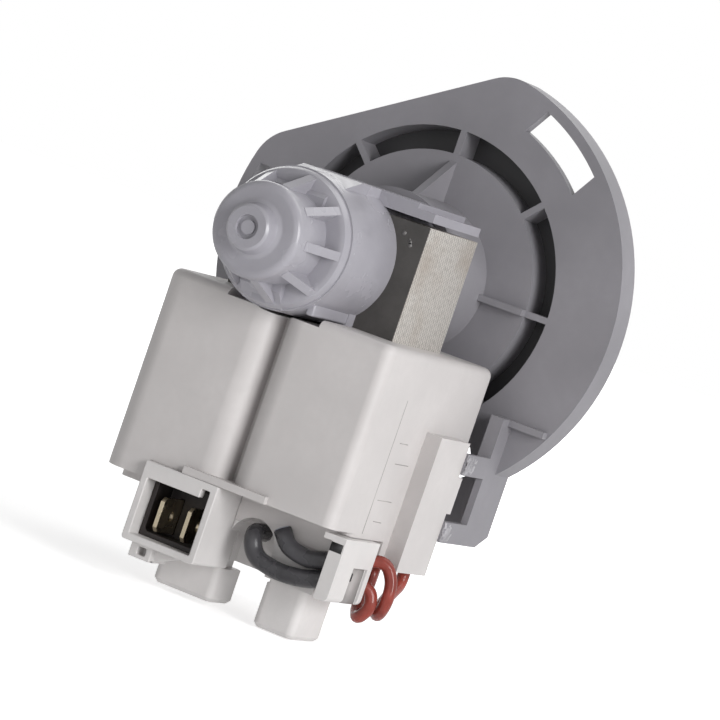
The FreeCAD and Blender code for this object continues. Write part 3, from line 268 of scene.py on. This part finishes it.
def laminatedSteel():
    bench = NodeBench("laminatedSteel")
    look = stackLook
    split = bench.parts(bench.place)
    flat = bench.maths("GREATER_THAN", bench.maths("ABSOLUTE", bench.facing()["Y"]), faceLimit)
    turns = bench.maths("MULTIPLY", split["Y"], 2 * math.pi / look["sheet"])
    wobble = bench.maths("MULTIPLY", bench.noise(look["wobbleScale"], detail=2.0), look["wobble"])
    rows = bench.maths("SINE", bench.maths("ADD", turns, wobble))
    climb = bench.maths("MULTIPLY", split["Z"], 2 * math.pi / look["step"])
    slanted = bench.maths("ADD", climb, bench.maths("MULTIPLY", turns, look["slant"]))
    dashes = bench.maths("SINE", slanted)
    ruling = bench.maths("ADD", bench.maths("MULTIPLY", rows, look["rowShare"]),
                         bench.maths("MULTIPLY", dashes, look["dashShare"]))
    shares = bench.span(ruling, 0.0, 1.0, -1.0, 1.0)
    ruled = bench.ramp(shares, (look["gapTo"], look["gap"]), (look["edgeFrom"], look["edge"]))
    burr = bench.noise(look["burrScale"], detail=4.0)
    rubbed = bench.span(burr, 0.0, look["burrShare"], *look["burrSpan"])
    speckled = bench.mix(rubbed, ruled, look["gap"])
    tarnish = bench.span(bench.noise(look["stainScale"]), 0.0, look["stainShare"], *look["stainSpan"])
    stained = bench.mix(tarnish, speckled, look["stain"])
    clouds = bench.noise(look["paintScale"], detail=4.0)
    paint = bench.shades(clouds, look["paint"], *look["paintShades"])
    colour = bench.mix(flat, stained, paint)
    relief = bench.maths("MULTIPLY", ruling, bench.maths("SUBTRACT", 1.0, flat))
    hatch = bench.bump(relief, look["hatchStrength"], look["hatchDepth"])
    grain = bench.noise(look["grainScale"])
    normal = bench.bump(grain, look["grainStrength"], look["grainDepth"], after=hatch)
    duller = bench.maths("MULTIPLY", flat, look["paintRough"])
    rough = bench.maths("ADD", duller, bench.span(burr, *look["rough"]))
    return bench.finish(colour, rough, normal, metallic=look["metallic"])


coverGrey = mouldedPlastic("coverGrey", coverLook)
canGrey = mouldedPlastic("canGrey", canLook)
housingWhite = mouldedPlastic("housingWhite", housingLook)
carrierWhite = mouldedPlastic("carrierWhite", carrierLook)
plugGrey = mouldedPlastic("plugGrey", plugLook)
impellerGrey = mouldedPlastic("impellerGrey", impellerLook)
hubWhite = mouldedPlastic("hubWhite", hubLook)
washerAmber = mouldedPlastic("washerAmber", washerLook)
bushCeramic = mouldedPlastic("bushCeramic", bushLook)
sleeveBlack = rubber("sleeveBlack", onScreen(63, 62, 65), (0.22, 0.34))
sleeveEndGlint = rubber("sleeveEndGlint", onScreen(128, 130, 138), (0.15, 0.5))
# Black of the seals; the clip's gap and slit plates use it as painted shade
sealBlackAndGapShade = rubber("sealBlackAndGapShade", onScreen(34, 34, 35), (0.45, 0.6))
leadRed = rubber("leadRed", onScreen(138, 58, 48), (0.18, 0.32))
caseBlack = rubber("caseBlack", onScreen(40, 40, 42), (0.3, 0.4))
mouthShadeBlack = rubber("mouthShadeBlack", onScreen(48, 43, 42), (0.34, 0.5))
ferrite = rubber("ferrite", onScreen(62, 62, 65), (0.4, 0.55))
# Dark grey of the housing's parting lines; the clip's slot plate uses it as painted shade
seamAndSlotShade = rubber("seamAndSlotShade", onScreen(150, 146, 145), (0.4, 0.55))
dimpleDark = rubber("dimpleDark", onScreen(112, 110, 109), (0.25, 0.4))
flashGrey = rubber("flashGrey", onScreen(164, 162, 166), (0.3, 0.45))
tinnedTab = brightMetal("tinnedTab", onScreen(196, 184, 160), (0.20, 0.36), (1.0, 0.15, 1.0))
groundSteel = brightMetal("groundSteel", onScreen(200, 201, 203), (0.16, 0.26), (1.0, 0.1, 1.0))
copperWire = brightMetal("copperWire", onScreen(196, 112, 62), (0.28, 0.4), (0.4, 0.4, 3.0), 0.3)
stackSteel = laminatedSteel()
print("materials ready")


# A piece of the scene takes over its CAD node's form, rides the node's body and stands in for it

meshCare = dict(weld=0.002 * mm, flatAngle=math.radians(0.6), endLimit=0.99, levelSlack=0.02 * mm,
                edgeAngle=math.radians(32), shadingWeight=60, tubeSides=8)


def sinkFace(bench, level, inset, depth):
    # Narrows the flat end that looks along -Y at this level and pushes it in by depth
    bench.normal_update()
    ends = [face for face in bench.faces
            if face.normal.y < -meshCare["endLimit"]
            and abs(face.calc_center_median().y - level * mm) < meshCare["levelSlack"]]
    end = max(ends, key=lambda face: face.calc_area())
    bmesh.ops.inset_individual(bench, faces=[end], thickness=inset * mm, use_even_offset=True)
    low = bmesh.ops.extrude_face_region(bench, geom=[end])
    bmesh.ops.delete(bench, geom=[end], context="FACES_ONLY")
    moved = [part for part in low["geom"] if isinstance(part, bmesh.types.BMVert)]
    bmesh.ops.translate(bench, verts=moved, vec=(0, depth * mm, 0))


def takenForm(node, name, material, sinks=(), roundSection=False):
    source = frame["nodes"][node]
    mesh = source.data.copy()
    mesh.name = name
    bench = bmesh.new()
    bench.from_mesh(mesh)
    bmesh.ops.remove_doubles(bench, verts=bench.verts, dist=meshCare["weld"])
    bmesh.ops.dissolve_limit(bench, angle_limit=meshCare["flatAngle"],
                             verts=bench.verts, edges=bench.edges)
    for face in bench.faces:  # the many-sided ends of a tube stay flat
        face.smooth = not roundSection or len(face.verts) < meshCare["tubeSides"]
    for level, inset, depth in sinks:
        sinkFace(bench, level, inset, depth)
    bench.to_mesh(mesh)
    bench.free()
    mesh.materials.clear()
    mesh.materials.append(material)
    if mesh.has_custom_normals:
        mesh.attributes.remove(mesh.attributes["custom_normal"])
    piece = bpy.data.objects.new(name, mesh)
    bpy.context.scene.collection.objects.link(piece)
    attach(piece, source["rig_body"])
    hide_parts(node)
    return piece


def softenedPiece(node, name, material, look):
    # A rigid piece also gets the moulding's rounded edges
    piece = takenForm(node, name, material, sinks=look.get("sinks", ()))
    bevel = piece.modifiers.new("edges", "BEVEL")
    bevel.width = look["round"] * mm
    bevel.segments = look["steps"]
    bevel.limit_method = "ANGLE"
    bevel.angle_limit = meshCare["edgeAngle"]
    bevel.use_clamp_overlap = True
    bevel.harden_normals = False
    bevel.miter_outer = "MITER_ARC"
    shading = piece.modifiers.new("shading", "WEIGHTED_NORMAL")
    shading.keep_sharp = True
    shading.weight = meshCare["shadingWeight"]


coverEdges = dict(round=0.32, steps=2, slot="cover_plastic")
softenedPiece("flange_cover", "flangeCover", coverGrey, coverEdges)

# The nose ends in a ring with a pin: level, inset and depth of each step in mm
canEdges = dict(round=0.16, steps=2, slot="can_plastic",
                sinks=((-70.9, 1.5, 0.85), (-70.05, 0.85, -0.5)))
softenedPiece("rotor_can", "rotorCan", canGrey, canEdges)

coreEdges = dict(round=0.08, steps=1, slot="core_steel")
softenedPiece("stator_core", "statorStack", stackSteel, coreEdges)

housingEdges = dict(round=0.45, steps=3, slot="housing_plastic")
softenedPiece("coil_housing", "coilHousing", housingWhite, housingEdges)

connectorEdges = dict(round=0.22, steps=2, slot="housing_plastic")
softenedPiece("connector_housing", "connectorShell", carrierWhite, connectorEdges)

# The terminal block deep in the connector's mouth is coloured near black as painted shade for the
# mouth's shadowed inside
blockEdges = dict(round=0.25, steps=2, slot="block_plastic")
softenedPiece("terminal_block", "terminalBlock", mouthShadeBlack, blockEdges)

carrierEdges = dict(round=0.35, steps=3, slot="housing_plastic")
softenedPiece("terminal_carrier", "terminalCarrier", carrierWhite, carrierEdges)

clipEdges = dict(round=0.3, steps=3, slot="housing_plastic")
softenedPiece("lead_clip", "leadClip", carrierWhite, clipEdges)

tabEdges = dict(round=0.16, steps=3, slot="terminal_metal")
softenedPiece("left_terminal", "leftTab", tinnedTab, tabEdges)
softenedPiece("right_terminal", "rightTab", tinnedTab, tabEdges)

impellerEdges = dict(round=0.25, steps=2, slot="impeller_plastic")
softenedPiece("impeller", "impellerWheel", impellerGrey, impellerEdges)

plugEdges = dict(round=0.25, steps=2, slot="plug_plastic")
softenedPiece("bearing_plug", "bearingPlug", plugGrey, plugEdges)
print("moulded pieces ready")

# Leads and sleeves keep their CAD route and get a round section
takenForm("upper_sleeve", "upperSleeve", sleeveBlack, roundSection=True)
takenForm("lower_sleeve", "lowerSleeve", sleeveBlack, roundSection=True)
takenForm("upper_lead", "upperLead", leadRed, roundSection=True)
takenForm("lower_lead", "lowerLead", leadRed, roundSection=True)
print("leads ready")

# Inner pieces stay as CAD nodes and only get their material
innerPaint = {
    "left_bobbin": hubWhite,
    "right_bobbin": hubWhite,
    "left_winding": copperWire,
    "right_winding": copperWire,
    "thermal_protector": caseBlack,
    "rotor_magnet": ferrite,
    "magnet_hub": hubWhite,
    "drive_dog": hubWhite,
    "rotor_shaft": groundSteel,
    "rear_washer": washerAmber,
    "front_washer": washerAmber,
    "rear_bearing": bushCeramic,
    "front_bearing": bushCeramic,
    "rear_bearing_holder": sealBlackAndGapShade,
    "shaft_seal": sealBlackAndGapShade,
    "flange_seal": sealBlackAndGapShade,
}
for node, material in innerPaint.items():
    data = frame["nodes"][node].data
    data.materials.clear()
    data.materials.append(material)
print("inner pieces painted")


# Marks too fine for the solids. Their places and sizes are in mm

def markPiece(name, bench, material, node):
    mesh = bpy.data.meshes.new(name)
    bmesh.ops.recalc_face_normals(bench, faces=bench.faces)
    for face in bench.faces:
        face.smooth = True
    bench.to_mesh(mesh)
    bench.free()
    mesh.materials.append(material)
    piece = bpy.data.objects.new(name, mesh)
    bpy.context.scene.collection.objects.link(piece)
    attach(piece, frame["nodes"][node]["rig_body"])
    return piece


def addPlate(bench, outline, lift):
    # A thin prism that starts a little under its face and ends as far above it
    rise = Vector(lift) * mm
    low = [bench.verts.new(Vector(point) * mm - rise) for point in outline]
    high = [bench.verts.new(Vector(point) * mm + rise) for point in outline]
    bench.faces.new(low)
    bench.faces.new(high)
    for index in range(len(low)):
        after = (index + 1) % len(low)
        bench.faces.new((low[index], low[after], high[after], high[index]))


def addDot(bench, centre, normal, radius, lift, corners=20):
    normal = Vector(normal).normalized()
    across = normal.orthogonal().normalized()
    beside = normal.cross(across)
    outline = []
    for number in range(corners):
        turn = 2 * math.pi * number / corners
        outline.append(Vector(centre) + (across * math.cos(turn) + beside * math.sin(turn)) * radius)
    addPlate(bench, outline, normal * lift)


def addSidePatch(bench, level, patch, lift):
    # A rectangle on a face that looks along X, given as front, back, low and high
    front, back, low, high = patch
    outline = ((level, front, low), (level, back, low), (level, back, high), (level, front, high))
    addPlate(bench, outline, (lift, 0, 0))


# A parting line and four ticks on the coil housing's right side, from (y, z) to (y, z)
seamLook = dict(face=24.0, width=0.13, lift=0.03, lines=(
    ((-38.4, -19.9), (-38.4, -44.3)),
    ((-36.8, -38.0), (-30.9, -38.0)),
    ((-35.7, -41.8), (-32.2, -41.9)),
    ((-35.7, -27.5), (-32.2, -27.5)),
    ((-34.9, -31.2), (-29.1, -31.2)),
))


def housingSeams():
    bench = bmesh.new()
    look = seamLook
    for (startY, startZ), (endY, endZ) in look["lines"]:
        run = Vector((0.0, endY - startY, endZ - startZ)).normalized()
        aside = run.cross(Vector((1, 0, 0))) * look["width"] / 2
        start = Vector((look["face"], startY, startZ))
        end = Vector((look["face"], endY, endZ))
        outline = (start - aside, end - aside, end + aside, start + aside)
        addPlate(bench, outline, (look["lift"], 0, 0))
    markPiece("housingSeams", bench, seamAndSlotShade, "coil_housing")


# Two ejector dots on the can's barrel
dotLook = dict(radius=0.42, lift=0.05, places=((8.69, -42.6, 9.13), (11.35, -41.5, 5.35)))


def canDots():
    bench = bmesh.new()
    look = dotLook
    for x, y, z in look["places"]:
        addDot(bench, (x, y, z), (x, 0, z), look["radius"], look["lift"])
    markPiece("canDots", bench, canGrey, "rotor_can")


# The low foot under the barrel that rests on the coil housing
footLook = dict(x=(7.2, 8.7), y=(-53.6, -39.3), z=(-11.25, -9.0), round=0.4, steps=3)


def canFoot():
    bench = bmesh.new()
    look = footLook
    middle = [(low + high) / 2 for low, high in (look["x"], look["y"], look["z"])]
    size = [high - low for low, high in (look["x"], look["y"], look["z"])]
    made = bmesh.ops.create_cube(bench, size=1.0)
    bmesh.ops.scale(bench, verts=made["verts"], vec=Vector(size) * mm)
    bmesh.ops.translate(bench, verts=made["verts"], vec=Vector(middle) * mm)
    piece = markPiece("canFoot", bench, canGrey, "rotor_can")
    bevel = piece.modifiers.new("edges", "BEVEL")
    bevel.width = look["round"] * mm
    bevel.segments = look["steps"]
    piece.modifiers.new("shading", "WEIGHTED_NORMAL")


# Painted shade on the clip: dark plates for the shadow in the gap above its front strip and in the
# slit, and a grey plate for the shade in the slot in its side, with the slit beside it
clipLook = dict(frontLevel=-47.0, gapX=(22.95, 25.3), gapZ=(-48.1, -46.5), sideLevel=25.05,
                slot=(-40.4, -34.7, -56.7, -50.3), slit=(-40.3, -38.8, -52.7, -51.2),
                lift=0.03, slitLift=0.06)


def clipShades():
    look = clipLook
    (left, right), (low, high), level = look["gapX"], look["gapZ"], look["frontLevel"]
    gapShade = bmesh.new()
    outline = ((left, level, low), (right, level, low), (right, level, high), (left, level, high))
    addPlate(gapShade, outline, (0, -look["lift"], 0))
    addSidePatch(gapShade, look["sideLevel"], look["slit"], look["slitLift"])
    markPiece("clipGapShade", gapShade, sealBlackAndGapShade, "lead_clip")
    shade = bmesh.new()
    addSidePatch(shade, look["sideLevel"], look["slot"], look["lift"])
    markPiece("clipShade", shade, seamAndSlotShade, "lead_clip")


# Dimples in the core's front sheet: x, z and radius
dimpleLook = dict(level=-37.4, lift=0.03, spots=(
    (12.5, 7.2, 0.42), (13.9, 6.35, 0.28), (14.15, 6.0, 0.34), (14.3, 5.5, 0.40)))


def coreDimples():
    bench = bmesh.new()
    look = dimpleLook
    for x, z, radius in look["spots"]:
        addDot(bench, (x, look["level"], z), (0, -1, 0), radius, look["lift"])
    markPiece("coreDimples", bench, dimpleDark, "stator_core")


# The fork's arms end in a melted, crumbled surface that fades out towards the root
# Each patch has its front, back, low and high limit on the fork's right face
flashLook = dict(
    face=28.0, sunk=0.06, rise=0.42, thickness=0.12, steps=28, level=0.35,
    coarse=1.1, coarseScale=1.5, coarseSeed=5.3, fine=0.6, fineScale=4.5, fineSeed=8.3,
    edgeFade=4, rootFade=1.6,
    patches={
        "upperFlash": (-14.3, -9.2, -30.4, -26.5),
        "lowerFlash": (-14.3, -9.8, -43.0, -39.2),
    },
)


def flashHeight(y, z, along, up):
    look = flashLook
    spot = Vector((y, z, 0.0))
    coarse = noise.noise(spot * look["coarseScale"] + Vector((0, 0, look["coarseSeed"])))
    fine = noise.noise(spot * look["fineScale"] + Vector((0, 0, look["fineSeed"])))
    crumbs = max(0.0, look["level"] + look["coarse"] * coarse + look["fine"] * fine)
    fade = min(1.0, look["edgeFade"] * up, look["edgeFade"] * (1 - up))
    return look["rise"] * crumbs * fade * min(1.0, look["rootFade"] * (1 - along))


def forkFlash():
    look = flashLook
    steps = look["steps"]
    for name, (front, back, low, high) in look["patches"].items():
        bench = bmesh.new()
        grid = []
        for row in range(steps + 1):
            line = []
            for column in range(steps + 1):
                along, up = column / steps, row / steps
                y = front + (back - front) * along
                z = low + (high - low) * up
                x = look["face"] - look["sunk"] + flashHeight(y, z, along, up)
                line.append(bench.verts.new((x * mm, y * mm, z * mm)))
            grid.append(line)
        for lower, upper in zip(grid, grid[1:]):
            for column in range(steps):
                bench.faces.new((lower[column], lower[column + 1], upper[column + 1], upper[column]))
        piece = markPiece(name, bench, flashGrey, "flange_cover")
        solid = piece.modifiers.new("body", "SOLIDIFY")
        solid.thickness = look["thickness"] * mm
        solid.offset = -1.0


# The upper sleeve's cut end: its light grey-blue is the glass yarn's own lighter tone and a painted
# glint
cutLook = dict(centre=(12.2, -44.6, -47.9), normal=(-0.62, 0.0, 0.78),
               radius=1.42, lift=0.05, corners=24)


def sleeveCut():
    bench = bmesh.new()
    addDot(bench, **cutLook)
    markPiece("sleeveCut", bench, sleeveEndGlint, "upper_sleeve")


housingSeams()
canDots()
canFoot()
clipShades()
coreDimples()
forkFlash()
sleeveCut()
print("fine marks ready")


# Studio: a white floor and surroundings, a large lamp on the right and weaker ones in front,
# behind and overhead

lamps = {
    "rightLamp": dict(place=(0.81, -0.42, 0.24), aim=(0.0, -0.03, -0.01), size=0.45, power=6.4),
    "frontLamp": dict(place=(0.26, -0.95, 0.02), aim=(0.0, -0.03, -0.02), size=0.5, power=0.6),
    "backLamp": dict(place=(-0.45, 0.85, 0.35), aim=(0.0, -0.03, -0.01), size=0.7, power=1.6),
    "topLamp": dict(place=(0.30, 0.38, 0.85), aim=(0.0, -0.03, 0.0), size=0.7, power=2.6),
}


def addLamp(name, place, aim, size, power):
    lamp = bpy.data.lights.new(name, "AREA")
    lamp.shape = "SQUARE"
    lamp.size = size
    lamp.energy = power
    holder = bpy.data.objects.new(name, lamp)
    bpy.context.scene.collection.objects.link(holder)
    holder.location = place
    holder.rotation_euler = (Vector(aim) - Vector(place)).to_track_quat("-Z", "Y").to_euler()


# Brightness of the surroundings as a lamp, as seen, and in reflections
worldLook = dict(level=0.22, seen=1.0, mirrored=0.85)


def whiteWorld():
    world = bpy.data.worlds.new("studioWorld")
    bpy.context.scene.world = world
    world.use_nodes = True
    nodes = world.node_tree.nodes
    links = world.node_tree.links
    around = nodes["Background"]
    around.inputs["Color"].default_value = (1.0, 1.0, 1.0, 1.0)
    paths = nodes.new("ShaderNodeLightPath")
    seen = nodes.new("ShaderNodeMath")
    seen.operation = "MAXIMUM"
    links.new(paths.outputs["Is Camera Ray"], seen.inputs[0])
    links.new(paths.outputs["Is Transmission Ray"], seen.inputs[1])
    level = nodes.new("ShaderNodeMapRange")
    level.inputs["To Min"].default_value = worldLook["level"]
    level.inputs["To Max"].default_value = worldLook["seen"]
    links.new(seen.outputs[0], level.inputs["Value"])
    mirrored = nodes.new("ShaderNodeMath")
    mirrored.operation = "MULTIPLY"
    mirrored.inputs[1].default_value = worldLook["mirrored"]
    links.new(paths.outputs["Is Glossy Ray"], mirrored.inputs[0])
    strength = nodes.new("ShaderNodeMath")
    strength.operation = "MAXIMUM"
    links.new(level.outputs["Result"], strength.inputs[0])
    links.new(mirrored.outputs[0], strength.inputs[1])
    links.new(strength.outputs[0], around.inputs["Strength"])


# The floor's glow is weaker near the pump, so that the shadow shows
# Its fill lights the pump from below
floorLook = dict(size=4.0, below=0.0002, paper=(0.86, 0.86, 0.86, 1.0), rough=0.9, fill=0.22,
                 nearGlow=0.56, farGlow=1.0, glowFrom=0.10, glowTo=0.42)


def paleFloor():
    look = floorLook
    half = look["size"] / 2
    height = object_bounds()[0].z - look["below"]
    outline = ((-half, -half), (half, -half), (half, half), (-half, half))
    corners = [(x, y, height) for x, y in outline]
    mesh = bpy.data.meshes.new("studioFloor")
    mesh.from_pydata(corners, [], [(0, 1, 2, 3)])
    floor = bpy.data.objects.new("studioFloor", mesh)
    bpy.context.scene.collection.objects.link(floor)
    material = bpy.data.materials.new("floorPaper")
    material.use_nodes = True
    nodes = material.node_tree.nodes
    links = material.node_tree.links
    paper = nodes["Principled BSDF"]
    paper.inputs["Base Color"].default_value = look["paper"]
    paper.inputs["Roughness"].default_value = look["rough"]
    reach = nodes.new("ShaderNodeVectorMath")
    reach.operation = "LENGTH"
    links.new(nodes.new("ShaderNodeTexCoord").outputs["Object"], reach.inputs[0])
    rise = nodes.new("ShaderNodeMapRange")
    rise.inputs["From Min"].default_value = look["glowFrom"]
    rise.inputs["From Max"].default_value = look["glowTo"]
    rise.inputs["To Min"].default_value = look["nearGlow"]
    rise.inputs["To Max"].default_value = look["farGlow"]
    links.new(reach.outputs["Value"], rise.inputs["Value"])
    level = nodes.new("ShaderNodeMapRange")
    level.inputs["To Min"].default_value = look["fill"]
    links.new(rise.outputs["Result"], level.inputs["To Max"])
    links.new(nodes.new("ShaderNodeLightPath").outputs["Is Camera Ray"], level.inputs["Value"])
    glow = nodes.new("ShaderNodeEmission")
    links.new(level.outputs["Result"], glow.inputs["Strength"])
    both = nodes.new("ShaderNodeAddShader")
    links.new(paper.outputs[0], both.inputs[0])
    links.new(glow.outputs[0], both.inputs[1])
    links.new(both.outputs[0], nodes["Material Output"].inputs["Surface"])
    mesh.materials.append(material)


for lampName, lampLook in lamps.items():
    addLamp(lampName, **lampLook)
whiteWorld()
paleFloor()

# The camera looks from the right of the nose, and is rolled so that the pump leans to the right
shot = dict(lens=216.0, sensor=36.0, near=0.05, far=20.0,
            place=(0.326315, -0.719175, 0.019736),
            across=(0.85235366, 0.40959335, 0.32515616),
            down=(0.31460859, 0.09505972, -0.94444962),
            onward=(-0.41774953, 0.90730201, -0.04783708))


def addCamera():
    camera = bpy.data.cameras.new("photoCamera")
    camera.sensor_width = shot["sensor"]
    camera.lens = shot["lens"]
    camera.clip_start = shot["near"]
    camera.clip_end = shot["far"]
    holder = bpy.data.objects.new("photoCamera", camera)
    bpy.context.scene.collection.objects.link(holder)
    axes = (Vector(shot["across"]), -Vector(shot["down"]), -Vector(shot["onward"]))
    for row, parts in enumerate(zip(*axes)):
        for column, part in enumerate(parts):
            holder.matrix_world[row][column] = part
    holder.location = shot["place"]
    bpy.context.scene.camera = holder


addCamera()
bpy.context.scene.view_settings.view_transform = "Standard"
print("studio ready")
